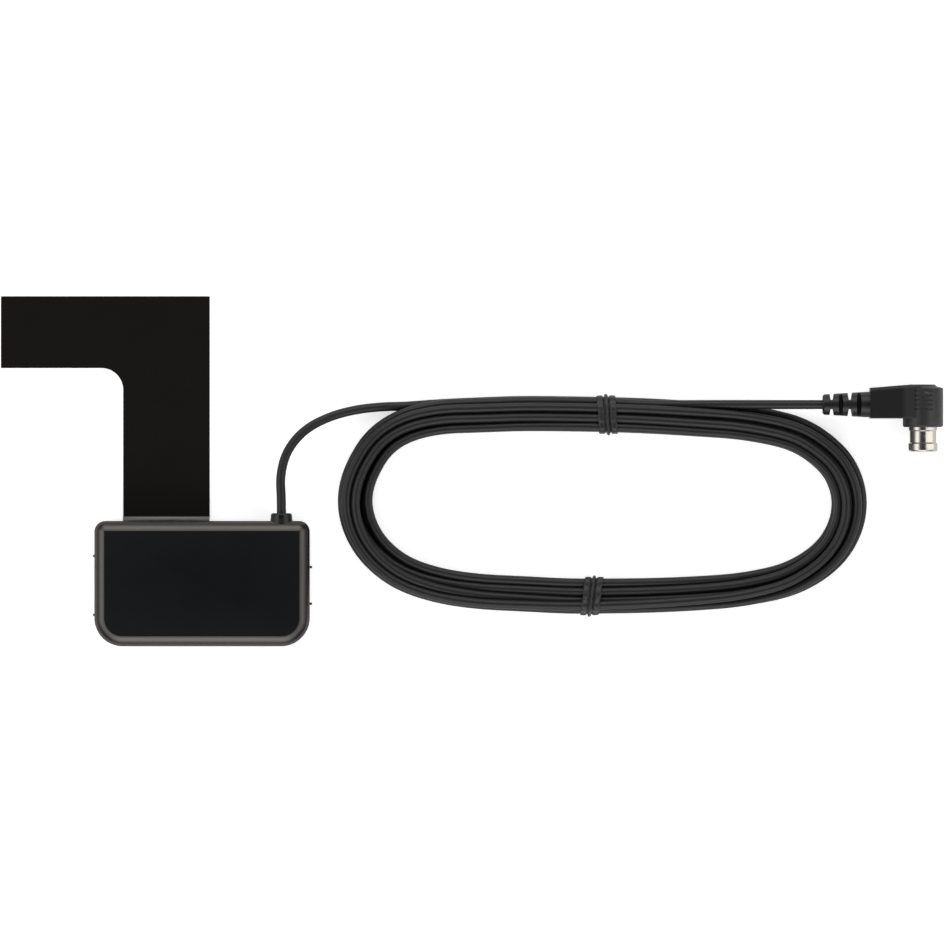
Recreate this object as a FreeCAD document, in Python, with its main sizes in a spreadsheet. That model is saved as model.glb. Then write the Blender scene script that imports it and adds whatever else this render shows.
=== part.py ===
"""Windscreen DAB antenna: printed film, amplifier box, hanked cable and right-angle coaxial plug.

Millimetres. The box lies on its adhesive face at z = 0 with the middle of that face at the origin.
The film runs off along +Y, the cable leaves the same side of the box and the hank lies along +X.
"""
import FreeCAD, Part
import math
import os
from types import SimpleNamespace

import Sketcher

DIMENSIONS = [
    # Amplifier box
    ("housing_width", 58.0, "box across the film side"),
    ("housing_depth", 33.8, "box from film side to far side"),
    ("film_side_corner", 2.9, "plan radius of the two corners beside the film"),
    ("far_corner", 7.6, "plan radius of the two far corners"),
    ("cover_height", 8.1, "front cover above the parting line"),
    ("cover_wall", 1.4, "side wall of the front cover"),
    ("cover_roof", 1.5, "face of the front cover"),
    ("rim_width", 2.7, "convex bevel between side wall and face"),
    ("face_corner", 0.15, "least plan radius of the face beside the film"),
    ("cavity_bevel", 0.8, "inner edge under the rim"),
    ("back_thickness", 1.6, "back cover plate"),
    ("back_chamfer", 0.4, "lower edge of the back cover"),
    ("fit_clearance", 0.15, "play between box mouldings"),
    ("tongue_height", 1.2, "locating rim on the back cover"),
    ("tongue_thickness", 1.0, "locating rim on the back cover"),
    ("hook_width", 4.0, "snap hook"),
    ("hook_height", 4.4, "snap hook above the parting line"),
    ("hook_nose", 0.5, "catch of a snap hook"),
    ("hook_nose_height", 1.2, "catch of a snap hook"),
    ("hook_spacing", 14.0, "between the two hooks of one side"),
    ("pip_radius", 0.35, "pips on the side edges"),
    ("pip_reach", 0.6, "pips on the side edges"),
    ("left_pip_up", 7.4, "left pip on the film side of the middle"),
    ("left_pip_down", 8.5, "left pip on the far side of the middle"),
    ("right_pip_up", 4.4, "right pip on the film side of the middle"),
    ("right_pip_down", 5.5, "right pip on the far side of the middle"),
    ("tape_thickness", 0.8, "adhesive foam tape"),
    ("tape_margin", 2.2, "tape inside the edge of the back cover"),
    # Circuit board and what is on it
    ("board_width", 46.0, "circuit board"),
    ("board_depth", 22.0, "circuit board"),
    ("board_thickness", 1.0, "circuit board"),
    ("post_radius", 1.7, "board posts of the back cover"),
    ("post_inset_across", 5.0, "post centre inside the board edge"),
    ("post_inset_along", 3.0, "post centre inside the board edge"),
    ("pin_radius", 0.7, "locating pins on the posts"),
    ("pin_height", 0.5, "pin above the board"),
    ("pin_clearance", 0.1, "play round the pins and over the board"),
    ("clamp_radius", 1.5, "posts of the front cover that hold the board down"),
    ("clamp_spacing", 32.0, "between the two clamp posts"),
    ("clamp_back", 6.5, "clamp posts on the far side of the middle"),
    ("chip_length", 5.0, "amplifier chip"),
    ("chip_width", 4.0, "amplifier chip"),
    ("chip_height", 1.5, "amplifier chip"),
    ("chip_bevel", 0.3, "amplifier chip"),
    ("lead_pitch", 1.27, "amplifier chip leads"),
    ("lead_width", 0.4, "amplifier chip leads"),
    ("lead_reach", 1.0, "amplifier chip leads"),
    ("lead_thickness", 0.2, "amplifier chip leads"),
    ("capacitor_length", 2.0, "chip capacitor"),
    ("capacitor_width", 1.25, "chip capacitor"),
    ("capacitor_height", 1.0, "chip capacitor"),
    ("resistor_length", 1.6, "chip resistor"),
    ("resistor_width", 0.8, "chip resistor"),
    ("resistor_height", 0.45, "chip resistor"),
    ("coil_radius", 1.5, "filter coil flange"),
    ("coil_waist", 1.15, "filter coil winding"),
    ("coil_height", 2.0, "filter coil"),
    ("coil_flange", 0.45, "filter coil flange"),
    ("contact_width", 3.0, "feed contact leaf"),
    ("contact_thickness", 0.2, "feed contact leaf"),
    ("contact_seat", 2.6, "contact soldered under the board"),
    ("contact_foot", 1.4, "contact lying on the film"),
    ("contact_run", 1.6, "slanted leaf between seat and foot"),
    # Antenna film
    ("film_width", 56.45, "whole film, across"),
    ("film_arm_height", 19.4, "arm along the far edge of the film"),
    ("film_stem_width", 23.4, "stem that runs to the box"),
    ("film_reach", 60.7, "film beyond the box"),
    ("film_edge", 1.9, "right edge of the film from the middle of the box"),
    ("film_corner", 5.9, "inner corner between arm and stem"),
    ("film_thickness", 0.25, "film with its adhesive"),
    ("film_tuck", 6.4, "film inside the edge of the box"),
    ("fold_gap", 0.3, "film fold in front of the box edge"),
    ("fold_run", 0.5, "foot of the fold in front of its top"),
    ("fold_radius", 0.3, "inner radius of the folds"),
    # Cable and grommet
    ("cable_diameter", 2.5, "coaxial cable jacket"),
    ("shield_diameter", 2.0, "braid under the jacket"),
    ("insulation_diameter", 1.5, "insulation round the conductor"),
    ("conductor_diameter", 0.5, "centre conductor"),
    ("jacket_stop", 0.3, "jacket ends short of the board"),
    ("shield_strip", 1.8, "bared shield"),
    ("insulation_strip", 1.5, "bared insulation"),
    ("conductor_strip", 1.1, "bared conductor before its bend"),
    ("conductor_bend", 0.5, "bend radius of the conductor"),
    ("gland_across", 21.4, "cable exit from the middle of the box"),
    ("gland_height", 6.6, "cable axis at the exit"),
    ("collar_radius", 3.0, "grommet collar"),
    ("collar_tip_radius", 2.8, "grommet collar at its outer end"),
    ("collar_reach", 2.1, "grommet outside the box"),
    ("collar_sink", 1.0, "grommet sunk into the wall"),
    ("collar_rounding", 0.55, "outer edge of the grommet"),
    ("relief_width", 1.2, "window in the top of the grommet"),
    ("relief_length", 0.9, "window in the top of the grommet"),
    ("relief_depth", 0.6, "window in the top of the grommet"),
    ("neck_radius", 1.9, "grommet in the wall"),
    ("flange_radius", 2.3, "grommet inside the wall"),
    ("flange_thickness", 0.8, "grommet inside the wall"),
    # Hank and ties
    ("hank_left", 75.0, "middle of the left bend"),
    ("hank_right", 131.7, "middle of the right bend"),
    ("hank_middle", 21.2, "long axis of the hank"),
    ("hank_left_reach", 33.6, "left bend to the middle of the bundle"),
    ("hank_right_reach", 42.9, "right bend to the middle of the bundle"),
    ("hank_rise", 24.5, "long axis to the middle of the bundle"),
    ("hank_width", 9.0, "bundle of turns"),
    ("hank_height", 6.9, "bundle of turns"),
    ("hank_edge", 2.4, "edges of the bundle"),
    ("hank_entry", 54.0, "lead meets the hank"),
    ("hank_entry_inset", 2.4, "lead inside the outer edge of the hank"),
    ("hank_exit", 154.0, "tail leaves the hank"),
    ("tie_width", 5.3, "twist tie"),
    ("tie_thickness", 0.3, "twist tie"),
    ("tie_ridge_width", 1.2, "wire along the tie"),
    ("tie_ridge_rise", 0.3, "wire along the tie"),
    ("upper_tie_across", 109.3, "tie on the film side of the hank"),
    ("lower_tie_across", 105.1, "tie on the far side of the hank"),
    # Plug
    ("plug_across", 194.5, "barrel axis"),
    ("plug_along", 48.3, "cable axis"),
    ("turret_radius", 5.45, "round head of the elbow"),
    ("turret_rise", 5.4, "head above the cable axis"),
    ("turret_drop", 6.1, "head below the cable axis"),
    ("crown_radius", 3.25, "flat crown of the head"),
    ("crown_foot_radius", 3.75, "foot of the step round the crown"),
    ("crown_step", 0.5, "step round the crown"),
    ("shoulder_radius", 5.15, "sloping shoulder of the head"),
    ("shoulder_fall", 0.85, "outer end of the shoulder below the crown"),
    ("shoulder_bevel", 0.25, "edge between shoulder and side"),
    ("foot_rounding", 0.6, "lower edge of the head"),
    ("arm_length", 14.3, "arm from barrel axis to boot"),
    ("arm_rise", 4.5, "arm above the cable axis at the boot"),
    ("arm_drop", 3.75, "arm below the cable axis"),
    ("arm_peak", 3.2, "highest point of the arm before the barrel axis"),
    ("arm_thickness", 10.2, "arm front to back"),
    ("arm_bevel", 0.8, "upper long edges of the arm"),
    ("arm_lower_bevel", 0.3, "lower long edges of the arm"),
    ("grip_count", 5, "grip grooves on each face of the head"),
    ("grip_pitch", 1.25, "between grip grooves"),
    ("grip_top", 3.7, "first grip groove above the cable axis"),
    ("grip_width", 0.45, "grip groove"),
    ("grip_depth", 0.25, "grip groove"),
    ("grip_sweep", 52.0, "angle that a grip groove covers"),
    ("boot_length", 12.8, "ribbed boot"),
    ("boot_tip_radius", 2.75, "boot at the cable"),
    ("boot_root_radius", 3.5, "boot at the elbow"),
    ("boot_first_slot", 2.43, "middle of the first slot from the cable end"),
    ("boot_pitch", 2.45, "from slot to slot"),
    ("boot_gap", 0.65, "floor of the slots between rings"),
    ("boot_gap_mouth", 1.35, "mouth of the slots between rings"),
    ("boot_web", 2.5, "web left in a slot"),
    ("boot_bevel", 0.4, "edge of the boot at the cable"),
    ("barrel_reach", 6.65, "barrel beyond the head"),
    ("barrel_root", 2.5, "barrel inside the head"),
    ("barrel_collar_radius", 3.83, "collar next to the head"),
    ("barrel_collar_length", 0.8, "collar next to the head"),
    ("barrel_radius", 3.56, "barrel"),
    ("barrel_ramp", 0.35, "slopes from barrel to collar and end ring"),
    ("barrel_lip_radius", 3.96, "end ring"),
    ("barrel_lip_length", 2.15, "end ring"),
    ("barrel_lip_rounding", 0.6, "end ring"),
    ("barrel_bore", 3.05, "inside of the barrel"),
    ("collet_radius", 2.4, "spring sleeve outside"),
    ("collet_bore", 1.87, "spring sleeve inside"),
    ("collet_recess", 0.9, "spring sleeve behind the mouth"),
    ("collet_flange", 1.2, "root flange of the spring sleeve"),
    ("collet_slot", 0.45, "slots of the spring sleeve"),
    ("collet_slot_length", 3.2, "slots of the spring sleeve"),
    ("insulator_length", 3.4, "insulator in the spring sleeve"),
    ("contact_radius", 0.65, "centre contact"),
    ("contact_bore", 0.28, "centre contact"),
    ("contact_bore_depth", 2.6, "centre contact"),
    ("contact_recess", 1.7, "centre contact behind the mouth"),
]

# Points of the free lead between the grommet and the hank, chosen along the real cable
LEAD_ROUTE = [
    (20.9, 29.0, 6.2),
    (22.4, 35.8, 5.3),
    (27.0, 41.9, 4.2),
    (34.2, 45.8, 3.1),
    (42.0, 47.4, 2.3),
]
LEAD_FIRST_RUN = 4.0
LEAD_LAST_RUN = 4.5
TANGENT_SHARE = 0.45

# Places of the small parts as shares of the board's width and depth from its middle,
# with True where a part stands across
CAPACITORS = [
    (-0.37, 0.09, True), (-0.21, 0.18, False), (-0.21, -0.20, False),
    (0.09, 0.27, False), (0.315, 0.18, True),
]
RESISTORS = [(-0.295, 0.14, True), (-0.02, 0.30, False), (0.185, -0.27, False), (0.25, 0.23, True)]
COILS = [(-0.305, -0.07), (0.13, 0.07), (0.24, -0.02)]
CHIP_PLACE = (-0.075, -0.02)
CHIP_LEADS_PER_SIDE = 4

# Slopes of the rim's convex bevel in degrees, from the top of the side wall to the edge of the face
RIM_SLOPES = (60.0, 49.0, 37.0, 26.0, 15.0)

FULL_TURN = 360.0
QUARTER_TURN = 90.0
SAME = 1e-5
# A cut that goes right through is made this many times as deep as what it cuts
THROUGH = 2

Vector = FreeCAD.Vector
doc = FreeCAD.newDocument("windscreen_antenna")
sheet = doc.addObject("Spreadsheet::Sheet", "sizes")


class Size:
    """A length: its value in millimetres and the sheet expression that gives it."""

    def __init__(self, value, text):
        self.value = value
        self.text = text

    def join(self, sign, other, value):
        return Size(value, f"({self.text} {sign} {other.text})")

    def __add__(self, other):
        return self.join("+", other, self.value + other.value)

    def __sub__(self, other):
        return self.join("-", other, self.value - other.value)

    def __mul__(self, factor):
        return Size(self.value * factor, f"({self.text} * {factor})")

    def __neg__(self):
        return Size(-self.value, f"(-1 * {self.text})")

    def half(self):
        return self * 0.5


def smaller(first, second):
    """The smaller of two sizes, for a fillet that its wall limits."""
    return Size(min(first.value, second.value), f"min({first.text}; {second.text})")


def fill_sheet():
    """Write the driving dimensions to the sheet and return them by name."""
    for row, (alias, value, meaning) in enumerate(DIMENSIONS, start=1):
        sheet.set(f"A{row}", alias)
        sheet.set(f"B{row}", str(value))
        sheet.set(f"C{row}", meaning)
        sheet.setAlias(f"B{row}", alias)
    doc.recompute()
    names = [alias for alias, _, _ in DIMENSIONS]
    return SimpleNamespace(**{alias: Size(float(sheet.get(alias)), f"sizes.{alias}") for alias in names})


size = fill_sheet()
ZERO = Size(0.0, "0")

# Levels and places that several pieces share
parting = size.tape_thickness + size.back_thickness
box_top = parting + size.cover_height
box_edge = size.housing_depth.half()
box_side = size.housing_width.half()
cable_radius = size.cable_diameter.half()
board_top = size.gland_height - size.shield_diameter.half()
board_bottom = board_top - size.board_thickness
film_top = parting + size.film_thickness
rim_width = smaller(size.rim_width, size.film_side_corner - size.face_corner)
hank_floor = size.tie_thickness + size.tie_ridge_rise
hank_entry_along = size.hank_middle + size.hank_rise + size.hank_width.half() - size.hank_entry_inset
hank_entry_height = hank_floor + cable_radius
post_across = size.board_width.half() - size.post_inset_across
post_along = size.board_depth.half() - size.post_inset_along
jacket_end = size.board_depth.half() + size.jacket_stop
shield_end = jacket_end - size.shield_strip
insulation_end = shield_end - size.insulation_strip
grommet_end = box_edge + size.collar_reach
wall_inside = box_edge - size.cover_wall
hook_face = box_side - size.cover_wall - size.fit_clearance
plug_height = size.turret_radius
barrel_mouth = size.turret_drop + size.barrel_reach
barrel_back = size.turret_drop - size.barrel_root


def bind(thing, prop, length):
    thing.setExpression(prop, length.text)


def new_body(label, place=None):
    body = doc.addObject("PartDesign::Body", label)
    body.Label = label
    for axis, length in zip("xyz", place or ()):
        bind(body, f"Placement.Base.{axis}", length)
    return body


def new_sketch(body, name, role="XY_Plane", shift=(ZERO, ZERO, ZERO)):
    """An empty sketch on one of the body's own planes, shifted along the sketch's own axes."""
    sketch = body.newObject("Sketcher::SketchObject", f"{body.Name}_{name}")
    plane = next(feature for feature in body.Origin.OriginFeatures if feature.Role == role)
    sketch.AttachmentSupport = [(plane, "")]
    sketch.MapMode = "FlatFace"
    for axis, length in zip("xyz", shift):
        bind(sketch, f"AttachmentOffset.Base.{axis}", length)
    return sketch


def hold(sketch, kind, line, length):
    """Bind one coordinate of the line's first end to the sheet."""
    if length.value == 0.0:
        sketch.addConstraint(Sketcher.Constraint("PointOnObject", line, 1, -2 if kind == "DistanceX" else -1))
        return
    if length.value > 0.0:
        index = sketch.addConstraint(Sketcher.Constraint(kind, -1, 1, line, 1, length.value))
    else:
        length = -length
        index = sketch.addConstraint(Sketcher.Constraint(kind, line, 1, -1, 1, length.value))
    bind(sketch, f"Constraints[{index}]", length)


def draw_polygon(sketch, corners):
    """Closed outline through corners that are each held by two distances from the sketch's origin."""
    first = sketch.GeometryCount
    count = len(corners)
    ends = [Vector(x.value, y.value, 0) for x, y in corners]
    for index in range(count):
        sketch.addGeometry(Part.LineSegment(ends[index], ends[(index + 1) % count]), False)
    for index in range(count):
        following = first + (index + 1) % count
        sketch.addConstraint(Sketcher.Constraint("Coincident", first + index, 2, following, 1))
    for index, (x, y) in enumerate(corners):
        hold(sketch, "DistanceX", first + index, x)
        hold(sketch, "DistanceY", first + index, y)


def draw_rectangle(sketch, x_low, x_high, y_low, y_high):
    draw_polygon(sketch, [(x_low, y_low), (x_high, y_low), (x_high, y_high), (x_low, y_high)])


def draw_centred(sketch, width, depth):
    draw_rectangle(sketch, -width.half(), width.half(), -depth.half(), depth.half())


def draw_rounded(sketch, across, along, film_side, far_side):
    """Rectangle about the origin with its own corner radius on the film side (+Y) and on the far side.

    A film side of None leaves those two corners sharp.
    """
    upper = film_side or ZERO
    x, y = across.value, along.value
    low, high = far_side.value, upper.value
    runs = [
        ((low - x, -y), (x - low, -y)),
        ((x, low - y), (x, y - high)),
        ((x - high, y), (high - x, y)),
        ((-x, y - high), (-x, low - y)),
    ]
    for start, end in runs:
        sketch.addGeometry(Part.LineSegment(Vector(*start, 0), Vector(*end, 0)), False)
    bends = [(3, 0, -x + low, -y + low, far_side), (0, 1, x - low, -y + low, far_side)]
    if film_side:
        bends += [(1, 2, x - high, y - high, film_side), (2, 3, -x + high, y - high, film_side)]
    else:
        sketch.addConstraint(Sketcher.Constraint("Coincident", 1, 2, 2, 1))
        sketch.addConstraint(Sketcher.Constraint("Coincident", 2, 2, 3, 1))
    for before, after, centre_x, centre_y, radius in bends:
        circle = Part.Circle(Vector(centre_x, centre_y, 0), Vector(0, 0, 1), radius.value)
        start = math.radians(QUARTER_TURN) * (before - 1)
        arc = sketch.addGeometry(Part.ArcOfCircle(circle, start, start + math.radians(QUARTER_TURN)), False)
        sketch.addConstraint(Sketcher.Constraint("Tangent", before, 2, arc, 1))
        sketch.addConstraint(Sketcher.Constraint("Tangent", arc, 2, after, 1))
        held = sketch.addConstraint(Sketcher.Constraint("Radius", arc, radius.value))
        bind(sketch, f"Constraints[{held}]", radius)
    for kind, line in (("Horizontal", 0), ("Vertical", 1), ("Horizontal", 2), ("Vertical", 3)):
        sketch.addConstraint(Sketcher.Constraint(kind, line))
    hold(sketch, "DistanceY", 0, -along)
    hold(sketch, "DistanceX", 1, across)
    hold(sketch, "DistanceY", 2, along)
    hold(sketch, "DistanceX", 3, -across)


def draw_circle(sketch, x, y, radius):
    """A circle whose centre is held by two distances from the sketch's origin."""
    index = sketch.addGeometry(Part.Circle(Vector(x.value, y.value, 0), Vector(0, 0, 1), radius.value), False)
    for kind, length in (("DistanceX", x), ("DistanceY", y)):
        if length.value == 0.0:
            axis = -2 if kind == "DistanceX" else -1
            sketch.addConstraint(Sketcher.Constraint("PointOnObject", index, 3, axis))
            continue
        ends = (-1, 1, index, 3) if length.value > 0.0 else (index, 3, -1, 1)
        held = sketch.addConstraint(Sketcher.Constraint(kind, *ends, abs(length.value)))
        bind(sketch, f"Constraints[{held}]", length if length.value > 0.0 else -length)
    rim = sketch.addConstraint(Sketcher.Constraint("Radius", index, radius.value))
    bind(sketch, f"Constraints[{rim}]", radius)


def extrude(body, kind, sketch, length, reversed_way=False, midplane=False):
    """Pad or Pocket of a sketch by a bound length."""
    feature = body.newObject(f"PartDesign::{kind}", f"{sketch.Name}_{kind.lower()}")
    feature.Profile = sketch
    feature.Midplane = midplane
    feature.Reversed = reversed_way
    bind(feature, "Length", length)
    return feature


def pad(body, sketch, length, **ways):
    return extrude(body, "Pad", sketch, length, **ways)


def cut(body, make_feature):
    """A cutting feature that is checked to have cut something."""
    doc.recompute()
    before = body.Tip.Shape.Volume
    feature = make_feature()
    doc.recompute()
    if feature.Shape.Volume > before - SAME:
        raise RuntimeError(f"{feature.Name} cuts nothing")
    return feature


def pocket(body, sketch, length, **ways):
    return cut(body, lambda: extrude(body, "Pocket", sketch, length, **ways))


def turn(body, kind, sketch, axis, angle=None):
    """Revolution or Groove about one of the sketch's axes, a full turn unless an angle is bound."""
    feature = body.newObject(f"PartDesign::{kind}", f"{sketch.Name}_{kind.lower()}")
    feature.Profile = sketch
    feature.ReferenceAxis = (sketch, [axis])
    feature.Angle = FULL_TURN
    if angle is not None:
        feature.Midplane = True
        bind(feature, "Angle", angle)
    return feature


def groove(body, sketch, axis, angle=None):
    return cut(body, lambda: turn(body, "Groove", sketch, axis, angle))


def mirror(body, originals, role):
    """Mirror features across one of the body's own planes."""
    feature = body.newObject("PartDesign::Mirrored", f"{originals[0].Name}_mirrored")
    feature.Originals = originals
    feature.MirrorPlane = (next(plane for plane in body.Origin.OriginFeatures if plane.Role == role), [""])
    body.Tip = feature
    return feature


def dress(body, kind, name, prop, length, chosen):
    """Fillet or Chamfer on the edges of the body's tip that the test picks."""
    doc.recompute()
    base = body.Tip
    edges = [f"Edge{index}" for index, edge in enumerate(base.Shape.Edges, start=1) if chosen(edge)]
    if not edges:
        raise RuntimeError(f"{body.Label} {name} finds no edge")
    feature = body.newObject(f"PartDesign::{kind}", f"{body.Name}_{name}")
    feature.Base = (base, edges)
    bind(feature, prop, length)
    return feature


def round_edges(body, name, radius, chosen):
    return dress(body, "Fillet", name, "Radius", radius, chosen)


def bevel_edges(body, name, setback, chosen):
    return dress(body, "Chamfer", name, "Size", setback, chosen)


def near(value, length):
    return abs(value - length.value) < SAME


def upright(edge):
    box = edge.BoundBox
    return box.XLength < SAME and box.YLength < SAME


def lies_at(edge, axis, length):
    """Whether the whole edge lies at one coordinate."""
    box = edge.BoundBox
    return near(getattr(box, f"{axis}Min"), length) and near(getattr(box, f"{axis}Max"), length)


def rim_sections():
    """Inset from the side wall and fall below the face along the rim, which is an arc in section."""
    sines = [math.sin(math.radians(slope)) for slope in RIM_SLOPES]
    cosines = [math.cos(math.radians(slope)) for slope in RIM_SLOPES]
    radius = rim_width * (1.0 / (sines[0] - sines[-1]))
    return [
        (radius * (sines[0] - sine), radius * (cosines[-1] - cosine)) for sine, cosine in zip(sines, cosines)
    ]


def make_front_cover():
    """Moulded cover: convex bevelled rim, flat face, cable port, film slot and snap recesses."""
    body = new_body("front_cover")
    outline = new_sketch(body, "outline", shift=(ZERO, ZERO, parting))
    draw_rounded(outline, box_side, box_edge, size.film_side_corner, size.far_corner)
    sections = rim_sections()
    rim_fall = sections[0][1]
    pad(body, outline, size.cover_height - rim_fall)

    levels = []
    for number, (inset, fall) in enumerate(sections):
        level = new_sketch(body, f"rim_{number}", shift=(ZERO, ZERO, box_top - fall))
        draw_rounded(
            level, box_side - inset, box_edge - inset, size.film_side_corner - inset, size.far_corner - inset
        )
        levels.append(level)
    doc.recompute()
    rim = body.newObject("PartDesign::AdditiveLoft", "front_cover_rim")
    rim.Profile = levels[0]
    rim.Sections = levels[1:]

    cavity = new_sketch(body, "cavity", shift=(ZERO, ZERO, parting))
    draw_rounded(
        cavity, box_side - size.cover_wall, wall_inside,
        size.film_side_corner - size.cover_wall, size.far_corner - size.cover_wall,
    )
    roof = box_top - size.cover_roof
    pocket(body, cavity, roof - parting, reversed_way=True)
    bevel_edges(body, "cavity_edge", size.cavity_bevel, lambda edge: lies_at(edge, "Z", roof))

    slot = new_sketch(body, "film_slot", "XZ_Plane", (size.film_edge, parting, -wall_inside))
    draw_rectangle(
        slot, -size.film_stem_width - size.fit_clearance, size.fit_clearance,
        ZERO, size.film_thickness + size.fit_clearance,
    )
    pocket(body, slot, size.cover_wall * THROUGH)

    port = new_sketch(body, "cable_port", "XZ_Plane", (size.gland_across, size.gland_height, -wall_inside))
    draw_circle(port, ZERO, ZERO, size.neck_radius)
    pocket(body, port, size.cover_wall * THROUGH)
    seat = new_sketch(
        body, "collar_seat", "XZ_Plane", (size.gland_across, size.gland_height, size.collar_sink - box_edge)
    )
    draw_circle(seat, ZERO, ZERO, size.collar_radius)
    pocket(body, seat, size.collar_sink * THROUGH)

    inside = new_sketch(body, "flange_seat", "XZ_Plane", (size.gland_across, size.gland_height, -wall_inside))
    draw_circle(inside, ZERO, ZERO, size.flange_radius + size.fit_clearance)
    pocket(body, inside, size.flange_thickness + size.fit_clearance, reversed_way=True)

    recess = new_sketch(body, "hook_recess", "XZ_Plane", (ZERO, parting, -size.hook_spacing.half()))
    nose_top = size.hook_height + size.fit_clearance
    nose_bottom = size.hook_height - size.hook_nose_height - size.fit_clearance
    nose_out = hook_face + size.hook_nose + size.fit_clearance
    draw_rectangle(recess, hook_face - size.cover_wall, nose_out, nose_bottom, nose_top)
    draw_rectangle(recess, -nose_out, size.cover_wall - hook_face, nose_bottom, nose_top)
    catches = pocket(body, recess, size.hook_width + size.fit_clearance * 2, midplane=True)
    mirror(body, [catches], "XZ_Plane")

    clamp_bottom = board_top + size.pin_clearance
    clamps = new_sketch(body, "clamps", shift=(ZERO, ZERO, clamp_bottom))
    for across in (size.clamp_spacing.half(), -size.clamp_spacing.half()):
        draw_circle(clamps, across, -size.clamp_back, size.clamp_radius)
    pad(body, clamps, roof - clamp_bottom)
    return body


def make_back_cover():
    """Base plate with a locating rim, four snap hooks, four board posts and the pips on its edges."""
    body = new_body("back_cover")
    plate = new_sketch(body, "plate", shift=(ZERO, ZERO, size.tape_thickness))
    draw_rounded(plate, box_side, box_edge, size.film_side_corner, size.far_corner)
    pad(body, plate, size.back_thickness)
    bevel_edges(body, "lower_edge", size.back_chamfer, lambda edge: lies_at(edge, "Z", size.tape_thickness))

    tongue = new_sketch(body, "tongue", shift=(ZERO, ZERO, parting))
    tongue_edge = wall_inside - size.fit_clearance
    corner_play = size.cover_wall + size.fit_clearance
    draw_rounded(
        tongue, hook_face, tongue_edge, size.film_side_corner - corner_play, size.far_corner - corner_play
    )
    pad(body, tongue, size.tongue_height)
    hollow = new_sketch(body, "tongue_hollow", shift=(ZERO, ZERO, parting + size.tongue_height))
    hollow_play = corner_play + size.tongue_thickness
    draw_rounded(
        hollow, hook_face - size.tongue_thickness, tongue_edge - size.tongue_thickness,
        size.film_side_corner - hollow_play, size.far_corner - hollow_play,
    )
    pocket(body, hollow, size.tongue_height)
    gate = new_sketch(body, "film_gate", shift=(size.film_edge, wall_inside, parting + size.tongue_height))
    gate_depth = size.tongue_thickness + size.fit_clearance * 2
    draw_rectangle(gate, -size.film_stem_width - size.fit_clearance, size.fit_clearance, -gate_depth, ZERO)
    pocket(body, gate, size.tongue_height)

    hooks = new_sketch(body, "hooks", "XZ_Plane", (ZERO, parting, -size.hook_spacing.half()))
    inner = hook_face - size.tongue_thickness
    nose = hook_face + size.hook_nose
    nose_bottom = size.hook_height - size.hook_nose_height
    profile = [
        (inner, ZERO), (hook_face, ZERO), (hook_face, nose_bottom), (nose, nose_bottom + size.fit_clearance),
        (nose, size.hook_height - size.hook_nose), (hook_face, size.hook_height), (inner, size.hook_height),
    ]
    draw_polygon(hooks, profile)
    draw_polygon(hooks, [(-x, y) for x, y in profile])
    arms = pad(body, hooks, size.hook_width, midplane=True)
    mirror(body, [arms], "XZ_Plane")

    corners = [(x, y) for x in (post_across, -post_across) for y in (post_along, -post_along)]
    posts = new_sketch(body, "posts", shift=(ZERO, ZERO, parting))
    pins = new_sketch(body, "pins", shift=(ZERO, ZERO, parting))
    for x, y in corners:
        draw_circle(posts, x, y, size.post_radius)
        draw_circle(pins, x, y, size.pin_radius)
    pad(body, posts, board_bottom - parting)
    pad(body, pins, board_top + size.pin_height - parting)

    pip_level = size.tape_thickness + size.back_thickness.half()
    sides = (
        ("right_pips", size.right_pip_up, size.right_pip_down, False),
        ("left_pips", size.left_pip_up, size.left_pip_down, True),
    )
    for name, up, down, leftwards in sides:
        pips = new_sketch(body, name, "YZ_Plane", (ZERO, pip_level, ZERO))
        for along in (up, -down):
            draw_circle(pips, along, ZERO, size.pip_radius)
        pad(body, pips, box_side + size.pip_reach, reversed_way=leftwards)
    return body


def make_mounting_tape():
    """Double-sided foam tape that holds the box to the glass."""
    body = new_body("mounting_tape")
    outline = new_sketch(body, "outline")
    draw_rounded(
        outline, box_side - size.tape_margin, box_edge - size.tape_margin,
        size.film_side_corner - size.tape_margin, size.far_corner - size.tape_margin,
    )
    pad(body, outline, size.tape_thickness)
    return body


def make_circuit_board():
    body = new_body("circuit_board")
    outline = new_sketch(body, "outline", shift=(ZERO, ZERO, board_bottom))
    draw_centred(outline, size.board_width, size.board_depth)
    for x in (post_across, -post_across):
        for y in (post_along, -post_along):
            draw_circle(outline, x, y, size.pin_radius + size.pin_clearance)
    pad(body, outline, size.board_thickness)
    return body


def on_board(share_across, share_along):
    """A place on the board from shares of its width and depth."""
    return size.board_width * share_across, size.board_depth * share_along


def make_amplifier_chip():
    """Eight-lead chip: bevelled body on gull-wing leads."""
    body = new_body("amplifier_chip")
    x, y = on_board(*CHIP_PLACE)
    outline = new_sketch(body, "outline", shift=(x, y, board_top + size.lead_thickness))
    draw_centred(outline, size.chip_length, size.chip_width)
    pad(body, outline, size.chip_height)
    top = board_top + size.lead_thickness + size.chip_height
    bevel_edges(body, "top", size.chip_bevel, lambda edge: lies_at(edge, "Z", top))
    leads = new_sketch(body, "leads", shift=(x, y, board_top))
    reach = size.chip_width.half() + size.lead_reach
    for number in range(CHIP_LEADS_PER_SIDE):
        middle = size.lead_pitch * (number - (CHIP_LEADS_PER_SIDE - 1) / 2)
        half = size.lead_width.half()
        draw_rectangle(leads, middle - half, middle + half, -reach, reach)
    pad(body, leads, size.lead_thickness)
    return body


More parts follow.
